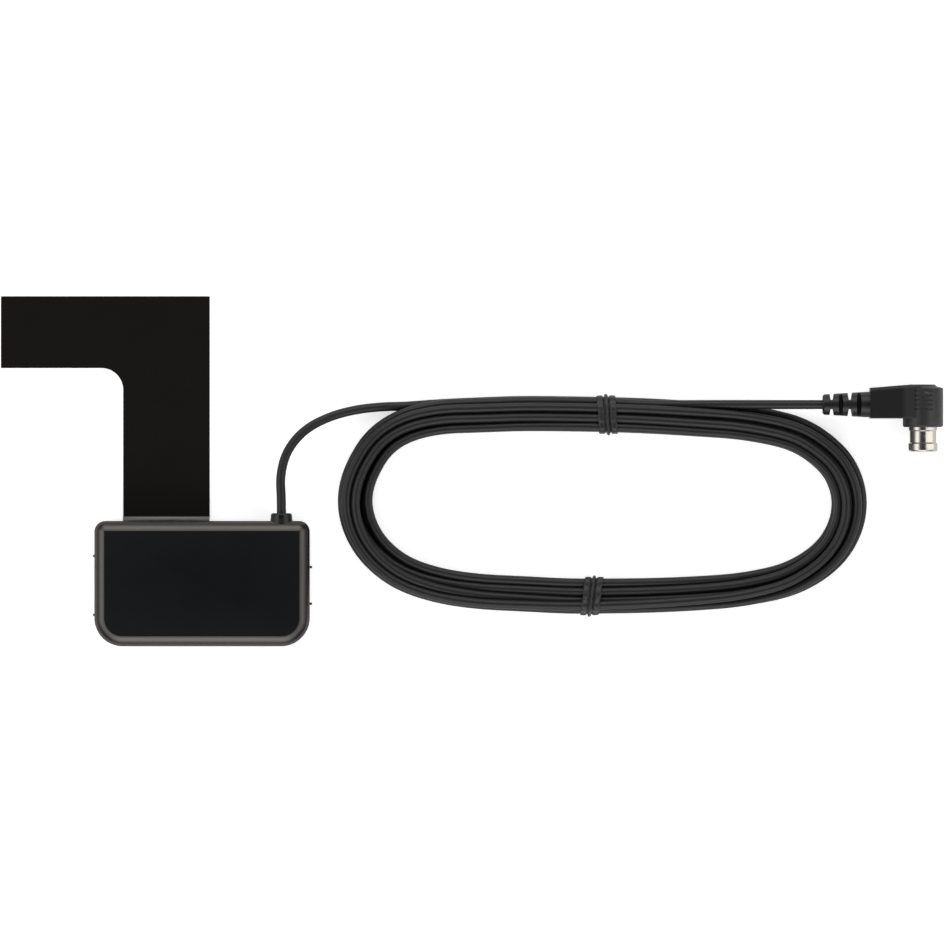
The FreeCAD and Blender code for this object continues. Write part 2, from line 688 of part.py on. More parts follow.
def make_blocks(label, places, length, width, height):
    """A group of like rectangular parts standing on the board."""
    blocks = []
    for number, (x, y, across) in enumerate(places):
        block = doc.addObject("Part::Box", f"{label}_{number}")
        long_side, short_side = (width, length) if across else (length, width)
        bind(block, "Length", long_side)
        bind(block, "Width", short_side)
        bind(block, "Height", height)
        middle_x, middle_y = on_board(x, y)
        bind(block, "Placement.Base.x", middle_x - long_side.half())
        bind(block, "Placement.Base.y", middle_y - short_side.half())
        bind(block, "Placement.Base.z", board_top)
        blocks.append(block)
    return group(label, blocks)


def group(label, members):
    compound = doc.addObject("Part::Compound", label)
    compound.Label = label
    compound.Links = members
    return compound


def make_filter_coils():
    """Drum-core coils, each turned as one spool."""
    spools = []
    for number, shares in enumerate(COILS):
        spool = new_body(f"filter_coil_{number}", (*on_board(*shares), board_top))
        profile = new_sketch(spool, "profile", "XZ_Plane")
        upper = size.coil_height - size.coil_flange
        draw_polygon(profile, [
            (ZERO, ZERO), (size.coil_radius, ZERO), (size.coil_radius, size.coil_flange),
            (size.coil_waist, size.coil_flange), (size.coil_waist, upper), (size.coil_radius, upper),
            (size.coil_radius, size.coil_height), (ZERO, size.coil_height),
        ])
        turn(spool, "Revolution", profile, "V_Axis")
        spools.append(spool)
    return group("filter_coils", spools)


def make_feed_contact():
    """Spring leaf from the underside of the board down to the film."""
    body = new_body("feed_contact")
    foot_end = box_edge - size.film_tuck + size.contact_foot
    foot = foot_end - size.contact_foot
    seat = foot - size.contact_run
    leaf = size.contact_thickness
    middle = size.film_edge - size.film_stem_width.half()
    profile = new_sketch(body, "profile", "YZ_Plane", (ZERO, ZERO, middle))
    draw_polygon(profile, [
        (seat - size.contact_seat, board_bottom - leaf), (seat - leaf.half(), board_bottom - leaf),
        (foot - leaf.half(), film_top), (foot_end, film_top), (foot_end, film_top + leaf),
        (foot + leaf.half(), film_top + leaf), (seat + leaf.half(), board_bottom),
        (seat - size.contact_seat, board_bottom),
    ])
    pad(body, profile, size.contact_width, midplane=True)
    return body


def make_antenna_film():
    """L-shaped film: flat on the glass, up a steep fold in front of the box and in through its slot."""
    body = new_body("antenna_film")
    sheet_top = size.film_thickness
    far_edge = box_edge + size.film_reach
    top_inside = box_edge + size.fold_gap
    top_outside = top_inside + size.film_thickness
    foot_inside = top_inside + size.fold_run
    foot_outside = top_outside + size.fold_run
    tucked_end = box_edge - size.film_tuck
    stem_left = size.film_edge - size.film_stem_width
    stem = new_sketch(body, "stem", "YZ_Plane", (ZERO, ZERO, stem_left))
    draw_polygon(stem, [
        (tucked_end, parting), (top_inside, parting), (foot_inside, ZERO), (far_edge, ZERO),
        (far_edge, sheet_top), (foot_outside, sheet_top), (top_outside, film_top), (tucked_end, film_top),
    ])
    pad(body, stem, size.film_stem_width)

    def fold(y, z):
        return lambda edge: lies_at(edge, "Y", y) and lies_at(edge, "Z", z)

    outer_radius = size.fold_radius + size.film_thickness
    round_edges(body, "upper_fold_inside", size.fold_radius, fold(top_inside, parting))
    round_edges(body, "upper_fold_outside", outer_radius, fold(top_outside, film_top))
    round_edges(body, "lower_fold_inside", size.fold_radius, fold(foot_outside, sheet_top))
    round_edges(body, "lower_fold_outside", outer_radius, fold(foot_inside, ZERO))

    arm = new_sketch(body, "arm")
    arm_edge = far_edge - size.film_arm_height
    draw_rectangle(arm, size.film_edge - size.film_width, size.film_edge, arm_edge, far_edge)
    pad(body, arm, size.film_thickness)

    def inner_corner(edge):
        middle = edge.CenterOfMass
        return upright(edge) and near(middle.x, stem_left) and near(middle.y, arm_edge)

    round_edges(body, "inner_corner", size.film_corner, inner_corner)
    return body


def make_cable_grommet():
    """Grommet: tapered collar with a small window outside, neck in the wall, flange inside, bored through."""
    body = new_body("cable_grommet", (size.gland_across, ZERO, size.gland_height))
    profile = new_sketch(body, "profile")
    seat = box_edge - size.collar_sink
    flange = wall_inside - size.flange_thickness
    draw_polygon(profile, [
        (cable_radius, flange), (size.flange_radius, flange), (size.flange_radius, wall_inside),
        (size.neck_radius, wall_inside), (size.neck_radius, seat), (size.collar_radius, seat),
        (size.collar_radius, box_edge), (size.collar_tip_radius, grommet_end), (cable_radius, grommet_end),
    ])
    turn(body, "Revolution", profile, "V_Axis")
    round_edges(
        body, "tip", size.collar_rounding,
        lambda edge: lies_at(edge, "Y", grommet_end) and near(edge.BoundBox.XMax, size.collar_tip_radius),
    )
    relief_along = box_edge + size.collar_reach.half()
    relief = new_sketch(body, "relief", shift=(ZERO, relief_along, size.collar_radius - size.relief_depth))
    draw_centred(relief, size.relief_width, size.relief_length)
    pocket(body, relief, size.relief_depth * THROUGH, reversed_way=True)
    return body


def make_cable_layer(label, diameter, start, end):
    """One bared layer of the cable inside the box, along the cable axis."""
    layer = doc.addObject("Part::Cylinder", label)
    layer.Label = label
    bind(layer, "Radius", diameter.half())
    bind(layer, "Height", start - end)
    layer.Placement = FreeCAD.Placement(Vector(), FreeCAD.Rotation(Vector(1, 0, 0), QUARTER_TURN))
    for axis, length in zip("xyz", (size.gland_across, start, size.gland_height)):
        bind(layer, f"Placement.Base.{axis}", length)
    return layer


def make_cable_conductor():
    """Bared conductor that runs on from the insulation and turns down to the board."""
    body = new_body("cable_conductor", (size.gland_across, insulation_end, size.gland_height))
    drop = size.shield_diameter.half()
    bend = size.conductor_bend
    path = new_sketch(body, "path", "YZ_Plane")
    corner = -(size.conductor_strip + bend)
    straight = Part.LineSegment(Vector(0, 0, 0), Vector(-size.conductor_strip.value, 0, 0))
    centre = Vector(-size.conductor_strip.value, -bend.value, 0)
    quarter = math.radians(QUARTER_TURN)
    arc = Part.ArcOfCircle(Part.Circle(centre, Vector(0, 0, 1), bend.value), quarter, 2 * quarter)
    down = Part.LineSegment(Vector(corner.value, -bend.value, 0), Vector(corner.value, -drop.value, 0))
    for edge in (straight, arc, down):
        path.addGeometry(edge, False)
    path.addConstraint(Sketcher.Constraint("Coincident", 0, 1, -1, 1))
    path.addConstraint(Sketcher.Constraint("Horizontal", 0))
    path.addConstraint(Sketcher.Constraint("Vertical", 2))
    path.addConstraint(Sketcher.Constraint("Tangent", 0, 2, 1, 1))
    path.addConstraint(Sketcher.Constraint("Tangent", 1, 2, 2, 1))
    run = path.addConstraint(Sketcher.Constraint("DistanceX", 0, 2, 0, 1, size.conductor_strip.value))
    bind(path, f"Constraints[{run}]", size.conductor_strip)
    arc_radius = path.addConstraint(Sketcher.Constraint("Radius", 1, bend.value))
    bind(path, f"Constraints[{arc_radius}]", bend)
    fall = path.addConstraint(Sketcher.Constraint("DistanceY", 2, 2, -1, 1, drop.value))
    bind(path, f"Constraints[{fall}]", drop)
    section = new_sketch(body, "section", "XZ_Plane")
    draw_circle(section, ZERO, ZERO, size.conductor_diameter.half())
    pipe = body.newObject("PartDesign::AdditivePipe", "cable_conductor_pipe")
    pipe.Profile = section
    pipe.Spine = path
    return body


def tube_path(points):
    """Straight runs joined by tangent arcs, each as large as its two runs allow, and the arcs' radii."""
    edges = []
    radii = []
    start = points[0]
    for before, corner, after in zip(points, points[1:], points[2:]):
        run_in = corner - before
        run_out = after - corner
        turn_angle = run_in.getAngle(run_out)
        tangent = TANGENT_SHARE * min(run_in.Length, run_out.Length)
        radius = tangent / math.tan(turn_angle / 2)
        way_in = Vector(run_in).normalize()
        way_out = Vector(run_out).normalize()
        inward = (way_out - way_in).normalize()
        arc_start = corner - way_in * tangent
        arc_end = corner + way_out * tangent
        arc_middle = corner + inward * (radius / math.cos(turn_angle / 2) - radius)
        edges.append(Part.LineSegment(start, arc_start).toShape())
        edges.append(Part.Arc(arc_start, arc_middle, arc_end).toShape())
        radii.append(radius)
        start = arc_end
    edges.append(Part.LineSegment(start, points[-1]).toShape())
    return Part.Wire(edges), radii


def make_tube(label, points):
    """Cable jacket along a route, with its volume compared with section times length."""
    path, radii = tube_path(points)
    section = Part.Wire(Part.makeCircle(cable_radius.value, points[0], points[1] - points[0]))
    shape = path.makePipeShell([section], True, False)
    expected = math.pi * cable_radius.value ** 2 * path.Length
    print(label, "length", round(path.Length, 1), "radii", [round(radius, 1) for radius in radii],
          "volume ratio", round(shape.Volume / expected, 4))
    tube = doc.addObject("Part::Feature", label)
    tube.Label = label
    tube.Shape = shape
    return tube


def make_cable_lead():
    start = Vector(size.gland_across.value, grommet_end.value, size.gland_height.value)
    end = Vector(size.hank_entry.value, hank_entry_along.value, hank_entry_height.value)
    points = [start, start + Vector(0, LEAD_FIRST_RUN, 0)]
    points += [Vector(*point) for point in LEAD_ROUTE]
    points += [end - Vector(LEAD_LAST_RUN, 0, 0), end]
    return make_tube("cable_lead", points)


def make_cable_tail():
    """The straight stretch from the hank into the boot."""
    boot_start = size.plug_across - size.arm_length - size.boot_length
    tail = doc.addObject("Part::Cylinder", "cable_tail")
    tail.Label = "cable_tail"
    bind(tail, "Radius", cable_radius)
    bind(tail, "Height", boot_start - size.hank_exit)
    lay_along_x(tail, (size.hank_exit, size.plug_along, plug_height))
    return tail


def lay_along_x(cylinder, start):
    cylinder.Placement = FreeCAD.Placement(Vector(), FreeCAD.Rotation(Vector(0, 1, 0), QUARTER_TURN))
    for axis, length in zip("xyz", start):
        bind(cylinder, f"Placement.Base.{axis}", length)


def oval(name, offset):
    """Upright oval block: a straight middle between two half ellipses, offset from the bundle's middle."""
    pieces = []
    rise = size.hank_rise + offset
    middle = doc.addObject("Part::Box", f"{name}_middle")
    bind(middle, "Length", size.hank_right - size.hank_left)
    bind(middle, "Width", rise * 2)
    bind(middle, "Height", size.hank_height)
    for axis, length in zip("xyz", (size.hank_left, size.hank_middle - rise, hank_floor)):
        bind(middle, f"Placement.Base.{axis}", length)
    pieces.append(middle)
    ends = (("left", size.hank_left, size.hank_left_reach), ("right", size.hank_right, size.hank_right_reach))
    for side, across, reach in ends:
        edge = doc.addObject("Part::Ellipse", f"{name}_{side}_edge")
        bind(edge, "MajorRadius", reach + offset)
        bind(edge, "MinorRadius", rise)
        for axis, length in zip("xyz", (across, size.hank_middle, hank_floor)):
            bind(edge, f"Placement.Base.{axis}", length)
        end = doc.addObject("Part::Extrusion", f"{name}_{side}")
        end.Base = edge
        end.DirMode = "Custom"
        end.Dir = Vector(0, 0, 1)
        end.Solid = True
        bind(end, "LengthFwd", size.hank_height)
        pieces.append(end)
    block = doc.addObject("Part::MultiFuse", name)
    block.Shapes = pieces
    block.Refine = True
    return block


def make_cable_hank():
    """Outer form of the wound cable: a bevelled oval ring with the two ends of the cable leaving it."""
    ring = doc.addObject("Part::Cut", "hank_ring")
    ring.Base = oval("hank_outer", size.hank_width.half())
    ring.Tool = oval("hank_inner", -size.hank_width.half())
    ring.Refine = True
    doc.recompute()
    eased = doc.addObject("Part::Chamfer", "hank_eased")
    eased.Base = ring
    eased.Edges = [
        (index, size.hank_edge.value, size.hank_edge.value)
        for index, edge in enumerate(ring.Shape.Edges, start=1)
        if lies_at(edge, "Z", hank_floor) or lies_at(edge, "Z", hank_floor + size.hank_height)
    ]
    entry = doc.addObject("Part::Cylinder", "hank_entry_stub")
    bind(entry, "Radius", cable_radius)
    bind(entry, "Height", size.hank_left - size.hank_entry)
    lay_along_x(entry, (size.hank_entry, hank_entry_along, hank_entry_height))
    leaving = doc.addObject("Part::Cylinder", "hank_exit_stub")
    bind(leaving, "Radius", cable_radius)
    bind(leaving, "Height", size.hank_exit - size.hank_right)
    lay_along_x(leaving, (size.hank_right, size.plug_along, plug_height))
    hank = doc.addObject("Part::MultiFuse", "cable_hank")
    hank.Label = "cable_hank"
    hank.Shapes = [eased, entry, leaving]
    return hank


def make_tie(label, across, along):
    """Flat twist tie round the bundle, with the ridge of its wire down the middle."""
    middle = hank_floor + size.hank_height.half()
    body = new_body(label, (across, along, middle))

    def bundle_outline(name, offset):
        sketch = new_sketch(body, name, "YZ_Plane")
        corner = size.hank_edge + offset
        across_half = size.hank_width.half() + offset
        draw_rounded(sketch, across_half, size.hank_height.half() + offset, corner, corner)
        return sketch

    strip = bundle_outline("strip", size.tie_thickness)
    pad(body, strip, size.tie_width, midplane=True)
    ridge = bundle_outline("ridge", size.tie_thickness + size.tie_ridge_rise)
    pad(body, ridge, size.tie_ridge_width, midplane=True)
    opening = bundle_outline("opening", ZERO)
    pocket(body, opening, size.tie_width * THROUGH, midplane=True)
    return body


def plug_body(label):
    """A body whose origin is where the cable axis meets the barrel axis."""
    return new_body(label, (size.plug_across, size.plug_along, plug_height))


def make_plug_boot():
    """Tapered strain relief, slotted in turn from the sides and from above and below."""
    body = plug_body("plug_boot")
    tip = -(size.arm_length + size.boot_length)
    profile = new_sketch(body, "profile")
    root = -size.arm_length
    draw_polygon(profile, [
        (tip, ZERO), (tip, size.boot_tip_radius), (root, size.boot_root_radius), (root, ZERO),
    ])
    turn(body, "Revolution", profile, "H_Axis")
    reach = size.boot_root_radius * 2
    half_web = size.boot_web.half()
    half_floor = size.boot_gap.half()
    half_mouth = size.boot_gap_mouth.half()
    for number, role in enumerate(("XY_Plane", "XZ_Plane", "XY_Plane", "XZ_Plane")):
        middle = tip + size.boot_first_slot + size.boot_pitch * number
        slots = new_sketch(body, f"slot_{number}", role)
        section = [
            (middle - half_floor, half_web), (middle + half_floor, half_web),
            (middle + half_mouth, size.boot_root_radius), (middle - half_mouth, size.boot_root_radius),
        ]
        draw_polygon(slots, section)
        draw_polygon(slots, [(x, -y) for x, y in section])
        pocket(body, slots, reach * THROUGH, midplane=True)

    bevel_edges(
        body, "tip", size.boot_bevel,
        lambda edge: lies_at(edge, "X", tip) and edge.BoundBox.YLength > SAME,
    )
    return body


def make_plug_elbow():
    """Moulded right-angle body: bevelled arm, round head with a sloping crown and grip grooves."""
    body = plug_body("plug_elbow")
    arm = new_sketch(body, "arm")
    shoulder = size.turret_rise - size.shoulder_fall
    side_top = shoulder - size.shoulder_bevel
    draw_polygon(arm, [
        (-size.arm_length, -size.arm_drop), (ZERO, -size.arm_drop), (ZERO, shoulder),
        (-size.arm_peak, size.turret_rise), (-size.arm_length, size.arm_rise),
    ])
    pad(body, arm, size.arm_thickness, midplane=True)
    front = size.arm_thickness.half()

    def long_edge(edge):
        box = edge.BoundBox
        on_face = near(abs(edge.CenterOfMass.z), front)
        return on_face and near(box.XMin, -size.arm_length) and box.XLength > SAME

    bevel_edges(body, "upper_bevel", size.arm_bevel, lambda edge: long_edge(edge) and edge.CenterOfMass.y > 0)
    bevel_edges(
        body, "lower_bevel", size.arm_lower_bevel, lambda edge: long_edge(edge) and edge.CenterOfMass.y < 0
    )

    head = new_sketch(body, "head")
    draw_polygon(head, [
        (ZERO, -size.turret_drop), (size.turret_radius, -size.turret_drop), (size.turret_radius, side_top),
        (size.shoulder_radius, shoulder), (size.crown_foot_radius, size.turret_rise - size.crown_step),
        (size.crown_radius, size.turret_rise), (ZERO, size.turret_rise),
    ])
    turn(body, "Revolution", head, "V_Axis")
    round_edges(
        body, "foot", size.foot_rounding,
        lambda edge: lies_at(edge, "Y", -size.turret_drop) and near(edge.BoundBox.XMax, size.turret_radius),
    )

    socket = new_sketch(body, "socket")
    draw_rectangle(socket, ZERO, size.barrel_radius, -size.turret_drop, -barrel_back)
    groove(body, socket, "V_Axis")

    grip = new_sketch(body, "grip", "YZ_Plane", (size.grip_top, ZERO, ZERO))
    inner = size.turret_radius - size.grip_depth
    outer = size.turret_radius + size.grip_depth
    section = [(-size.grip_width, outer), (ZERO, inner), (size.grip_width, outer)]
    draw_polygon(grip, section)
    draw_polygon(grip, [(x, -y) for x, y in section])
    first_grip = groove(body, grip, "H_Axis", size.grip_sweep)
    row = body.newObject("PartDesign::LinearPattern", "plug_elbow_grips")
    row.Originals = [first_grip]
    row.Direction = (grip, ["H_Axis"])
    row.Reversed = True
    row.Mode = "Spacing"
    bind(row, "Offset", size.grip_pitch)
    bind(row, "Occurrences", size.grip_count)
    body.Tip = row
    return body


def turned_piece(label, profile_points):
    """A piece turned about the barrel axis, from half its section."""
    body = plug_body(label)
    profile = new_sketch(body, "profile")
    draw_polygon(profile, profile_points)
    turn(body, "Revolution", profile, "V_Axis")
    return body


def make_plug_barrel():
    collar_end = size.turret_drop + size.barrel_collar_length
    lip = barrel_mouth - size.barrel_lip_length
    body = turned_piece("plug_barrel", [
        (size.barrel_bore, -barrel_back), (size.barrel_radius, -barrel_back),
        (size.barrel_radius, -size.turret_drop), (size.barrel_collar_radius, -size.turret_drop),
        (size.barrel_collar_radius, -collar_end), (size.barrel_radius, -(collar_end + size.barrel_ramp)),
        (size.barrel_radius, -(lip - size.barrel_ramp)), (size.barrel_lip_radius, -lip),
        (size.barrel_lip_radius, -barrel_mouth), (size.barrel_bore, -barrel_mouth),
    ])
    round_edges(
        body, "mouth", size.barrel_lip_rounding,
        lambda edge: lies_at(edge, "Y", -barrel_mouth) and near(edge.BoundBox.XMax, size.barrel_lip_radius),
    )
    return body


def make_plug_collet():
    """Slotted spring sleeve that grips the mating shell."""
    tip = barrel_mouth - size.collet_recess
    body = turned_piece("plug_collet", [
        (size.collet_bore, -barrel_back), (size.barrel_bore, -barrel_back),
        (size.barrel_bore, -(barrel_back + size.collet_flange)),
        (size.collet_radius, -(barrel_back + size.collet_flange)),
        (size.collet_radius, -tip), (size.collet_bore, -tip),
    ])
    half = size.collet_slot.half()
    for name, role in (("slot_across", "XY_Plane"), ("slot_through", "YZ_Plane")):
        slot = new_sketch(body, name, role)
        span = (-half, half, -tip, size.collet_slot_length - tip)
        draw_rectangle(slot, *(span if role == "XY_Plane" else span[2:] + span[:2]))
        pocket(body, slot, size.barrel_bore * THROUGH, midplane=True)
    return body


def make_plug_insulator():
    end = barrel_back + size.insulator_length
    return turned_piece("plug_insulator", [
        (size.contact_radius, -barrel_back), (size.collet_bore, -barrel_back),
        (size.collet_bore, -end), (size.contact_radius, -end),
    ])


def make_plug_contact():
    """Centre contact, bored at its tip for the mating pin."""
    tip = barrel_mouth - size.contact_recess
    return turned_piece("plug_contact", [
        (ZERO, -barrel_back), (size.contact_radius, -barrel_back), (size.contact_radius, -tip),
        (size.contact_bore, -tip), (size.contact_bore, size.contact_bore_depth - tip),
        (ZERO, size.contact_bore_depth - tip),
    ])


def make_all():
    capacitor = (size.capacitor_length, size.capacitor_width, size.capacitor_height)
    resistor = (size.resistor_length, size.resistor_width, size.resistor_height)
    pieces = [
        make_front_cover(),
        make_back_cover(),
        make_mounting_tape(),
        make_circuit_board(),
        make_amplifier_chip(),
        make_blocks("chip_capacitors", CAPACITORS, *capacitor),
        make_blocks("chip_resistors", RESISTORS, *resistor),
        make_filter_coils(),
        make_feed_contact(),
        make_antenna_film(),
        make_cable_grommet(),
        make_cable_layer("cable_end", size.cable_diameter, grommet_end, jacket_end),
        make_cable_layer("cable_shield", size.shield_diameter, jacket_end, shield_end),
        make_cable_layer("cable_insulation", size.insulation_diameter, shield_end, insulation_end),
        make_cable_conductor(),
        make_cable_lead(),
        make_cable_hank(),
        make_cable_tail(),
        make_tie("upper_tie", size.upper_tie_across, size.hank_middle + size.hank_rise),
        make_tie("lower_tie", size.lower_tie_across, size.hank_middle - size.hank_rise),
        make_plug_boot(),
        make_plug_elbow(),
        make_plug_barrel(),
        make_plug_collet(),
        make_plug_insulator(),
        make_plug_contact(),
    ]
    doc.recompute()
    return pieces


def check_all(pieces):
    """Stop if any object failed or any sub-part has no sound shape."""
    for thing in doc.Objects:
        if any(state in thing.State for state in ("Invalid", "Error")):
            raise RuntimeError(f"{thing.Name} failed: {thing.State}")
    for piece in pieces:
        if piece.Shape.isNull() or not piece.Shape.isValid() or not piece.Shape.Solids:
            raise RuntimeError(f"{piece.Label} has no valid solid")


def export_all(pieces):
    os.makedirs("parts", exist_ok=True)
    for piece in pieces:
        piece.Shape.exportStep(os.path.join("parts", f"{piece.Label}.step"))
        box = piece.Shape.BoundBox
        print(piece.Label, len(piece.Shape.Solids), "solids", round(piece.Shape.Volume, 1), "mm3",
              [round(value, 2) for value in (box.XMin, box.XMax, box.YMin, box.YMax, box.ZMin, box.ZMax)])


all_pieces = make_all()
check_all(all_pieces)
export_all(all_pieces)
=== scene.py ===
import math

import bmesh
import bpy
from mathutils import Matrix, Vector


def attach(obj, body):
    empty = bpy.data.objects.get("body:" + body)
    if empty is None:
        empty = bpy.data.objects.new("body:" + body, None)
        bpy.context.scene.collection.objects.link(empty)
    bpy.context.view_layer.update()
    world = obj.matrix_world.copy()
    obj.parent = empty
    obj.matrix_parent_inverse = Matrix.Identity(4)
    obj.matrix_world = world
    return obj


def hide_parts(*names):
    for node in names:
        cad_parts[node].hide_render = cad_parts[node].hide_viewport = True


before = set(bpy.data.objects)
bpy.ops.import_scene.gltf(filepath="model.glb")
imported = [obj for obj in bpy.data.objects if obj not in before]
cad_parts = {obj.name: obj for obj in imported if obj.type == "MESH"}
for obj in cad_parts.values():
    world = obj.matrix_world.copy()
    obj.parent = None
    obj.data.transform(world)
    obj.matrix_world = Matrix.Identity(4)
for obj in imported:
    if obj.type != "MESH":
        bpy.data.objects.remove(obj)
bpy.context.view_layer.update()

# Lengths in the tables are millimetres and become metres where a piece is made
MM = 0.001

# The cable
CABLE = 2.5
GROMMET_END = (21.4, 19.0, 6.6)
LEAD = [
    GROMMET_END, (21.4, 23.0, 6.6), (21.0, 29.0, 6.2), (22.7, 35.8, 5.3), (27.5, 41.6, 4.2),
    (34.5, 45.2, 3.1), (42.0, 47.1, 2.3), (49.5, 47.8, 1.85), (54.0, 47.8, 1.85),
]
TAIL = [
    (121.0, 48.2, 4.3), (134.0, 48.3, 4.0), (145.0, 48.3, 4.6), (154.0, 48.3, 5.3),
    (161.0, 48.3, 5.45), (167.4, 48.3, 5.45), (169.4, 48.3, 5.45),
]

# The plug: a point on the axis of its barrel, and where its arm becomes its head
BARREL_AXIS = (194.5, 39.0, 5.45)
HEAD_STARTS = (188.6, 190.0)

# Middle of the bundle at stations round the hank, clockwise from where the lead joins the upper run
STATIONS = [
    (64.2, 44.9), (75.0, 45.4), (85.8, 45.8), (97.0, 45.8), (109.3, 45.6), (121.0, 45.2), (134.4, 44.4),
    (145.2, 43.6), (155.4, 41.8), (161.9, 39.6), (167.3, 36.1), (171.7, 31.6), (174.2, 26.1), (174.8, 20.8),
    (173.8, 15.4), (171.0, 10.0), (166.8, 5.7), (161.4, 2.3), (155.2, -0.1), (145.2, -2.0), (134.4, -2.8),
    (120.9, -3.3), (105.1, -3.4), (96.6, -3.3), (85.8, -2.8), (75.0, -2.2), (64.2, -0.6), (54.6, 2.6),
    (47.9, 7.4), (43.7, 12.9), (41.5, 19.0), (41.4, 25.0), (43.4, 31.2), (47.8, 38.0), (54.8, 42.6),
]
TURNS = 8

# How the strands settle, in diameters: how close they lie, half the width of the bundle at a tie, what it gains
# where it lies free, the height above which it narrows, by how much, and how far a strand sinks in each round
SPACING = 0.955
HALF_WIDTH = 1.41
FREE_WIDTH = 0.07
TOP_ROW = 1.4
TOP_NARROWS = 0.35
SINK = 0.001

# Height of the bundle over the floor, and what a tie adds to it; stations that a tie reaches
FLOOR_GAP = 0.05
TIE_LIFT = 0.6
TIE_REACH = 4.0
UPPER_TIE, RIGHT_BEND, LOWER_TIE, LEFT_BEND = 4, 13, 22, 31

# Places of the strands in the bundle, in diameters: outwards from its middle, and up from the lowest row.
# A strand keeps its row of these tables all the way round, and comes back to the upper tie on the next row.
UPPER_PLACES = [
    (1.44, 0.05), (0.50, 0.0), (-0.46, 0.0), (-1.42, 0.30), (-1.38, 1.58), (0.10, 0.84), (-0.50, 1.62),
    (0.68, 1.70), (1.32, 0.98),
]
RIGHT_PLACES = [
    (1.48, 0.35), (0.50, 0.0), (-0.46, 0.0), (-1.44, 0.15), (-1.48, 1.12), (-0.14, 0.85), (-0.90, 1.75),
    (0.50, 1.25),
]
LOWER_PLACES = [
    (1.00, 0.0), (0.03, 0.0), (-0.95, 0.0), (-1.42, 0.90), (-0.38, 1.10), (0.54, 0.86), (1.00, 1.74),
    (1.48, 0.87),
]
LEFT_PLACES = [
    (0.98, 0.0), (0.04, 0.0), (-0.90, 0.0), (-1.44, 1.10), (0.46, 0.86), (-0.06, 1.70), (0.86, 1.76),
    (1.28, 0.95),
]


def smooth(value):
    """Ease from 0 to 1."""
    value = min(max(value, 0.0), 1.0)
    return value * value * (3.0 - 2.0 * value)


def near_tie(station):
    """1 at a tie, falling to 0 where the bundle lies free."""
    count = len(STATIONS)
    steps = min(min(abs(station - tie), count - abs(station - tie)) for tie in (UPPER_TIE, LOWER_TIE))
    return 1.0 - smooth(steps / TIE_REACH)


def between(first, second, share):
    """A place part of the way from one to the other, eased at both ends."""
    return [a + (b - a) * smooth(share) for a, b in zip(first, second)]


def strand_places():
    """Offsets of every strand at every station, from the tables."""
    count = len(STATIONS)
    places = {}
    for turn in range(TURNS):
        rows = [table[turn] for table in (UPPER_PLACES, RIGHT_PLACES, LOWER_PLACES, LEFT_PLACES)]
        rows.append(UPPER_PLACES[turn + 1])
        marks = [UPPER_TIE, RIGHT_BEND, LOWER_TIE, LEFT_BEND, count]
        for station in range(count):
            leg = max(sum(station >= mark for mark in marks) - 1, 0)
            share = (station - marks[leg]) / (marks[leg + 1] - marks[leg])
            places[turn, station] = between(rows[leg], rows[leg + 1], share)
    for station in range(UPPER_TIE + 1):
        places[TURNS, station] = list(UPPER_PLACES[TURNS])
    return places


def settle(places):
    """Push the strands a diameter apart, let them sink, and keep each one smooth along its length."""
    count = len(STATIONS)
    rounds, last_rounds = 90, 12
    for step in range(rounds):
        easing = step < rounds - last_rounds
        for station in range(count):
            members = [places[turn, station] for turn in range(TURNS + 1) if (turn, station) in places]
            loose = 1.0 - near_tie(station)
            for index, first in enumerate(members):
                for second in members[index + 1:]:
                    across, up = second[0] - first[0], second[1] - first[1]
                    apart = math.hypot(across, up)
                    if 0.0 < apart < SPACING:
                        push = (SPACING - apart) * 0.5 / apart
                        first[0] -= across * push
                        first[1] -= up * push
                        second[0] += across * push
                        second[1] += up * push
            for member in members:
                limit = HALF_WIDTH + FREE_WIDTH * loose - TOP_NARROWS * max(member[1] - TOP_ROW, 0.0)
                if easing:
                    member[1] -= SINK * loose
                member[0] = min(max(member[0], -limit), limit)
                member[1] = max(member[1], 0.0)
        if not easing:
            continue
        order = sorted(places)
        moved = {}
        for before, here, after in zip(order, order[1:], order[2:]):
            if here[1] in (UPPER_TIE, LOWER_TIE):
                continue
            moved[here] = [
                0.7 * middle + 0.15 * (low + high)
                for low, middle, high in zip(places[before], places[here], places[after])
            ]
        for key, offsets in moved.items():
            places[key][:] = offsets
    return places


def outward(station):
    """Unit vector across the bundle, away from the middle of the hank."""
    count = len(STATIONS)
    before = Vector(STATIONS[(station - 1) % count])
    after = Vector(STATIONS[(station + 1) % count])
    along = (after - before).normalized()
    return Vector((-along.y, along.x))


def strand_point(offsets, station):
    """Middle of a strand at a station, in millimetres."""
    side = outward(station) * offsets[0] * CABLE
    floor = TIE_LIFT * near_tie(station) + FLOOR_GAP
    x, y = STATIONS[station]
    return Vector((x + side.x, y + side.y, floor + CABLE * (0.5 + offsets[1])))


def drawn_out(points):
    """Control points moved so that the spline, which cuts its corners, goes through the points given."""
    moved = [points[0]]
    for before, here, after in zip(points, points[1:], points[2:]):
        moved.append(here + (here * 2.0 - before - after) / 8.0)
    return moved + [points[-1]]


def link(obj):
    """Put a piece in the scene, on the body."""
    bpy.context.scene.collection.objects.link(obj)
    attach(obj, "root")
    return obj


